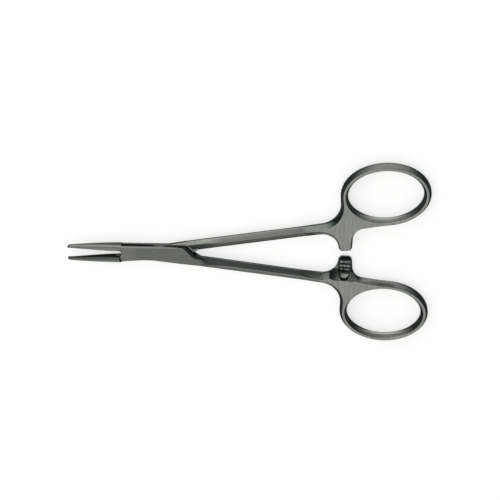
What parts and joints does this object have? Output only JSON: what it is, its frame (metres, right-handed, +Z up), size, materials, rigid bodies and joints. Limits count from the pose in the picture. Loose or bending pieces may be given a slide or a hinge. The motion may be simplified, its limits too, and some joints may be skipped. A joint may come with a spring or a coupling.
{
  "type": "mosquito forceps",
  "caption": "Straight box-lock mosquito forceps with serrated tapering jaws, slim shanks, ratchet tongues and oval finger rings.",
  "frame": {"origin": "on the lock pin's axis, in the plane that the flat backs of the finger rings lie on", "axes": "+X from the pin towards the finger rings, midway between the two halves; +Y across, towards the ring of the through half; +Z up out of the surface that the forceps lies on, along the lock pin"},
  "size_m": [0.1245, 0.0676, 0.0046],
  "materials": {
    "steel_box_half": "dark satin",
    "steel_through_half": "dark satin",
    "steel_pin": "dark satin, ground flush"
  },
  "bodies": {
    "box_half": {"female_half": "steel_box_half", "lock_pin": "steel_pin"},
    "through_half": {"male_half": "steel_through_half"}
  },
  "joints": [
    {"name": "lock_hinge", "type": "hinge", "parent": "box_half", "child": "through_half", "pos_m": [0, 0, 0.0023], "axis": [0, 0, 1], "range_deg": [-6.5, 50]}
  ]
}
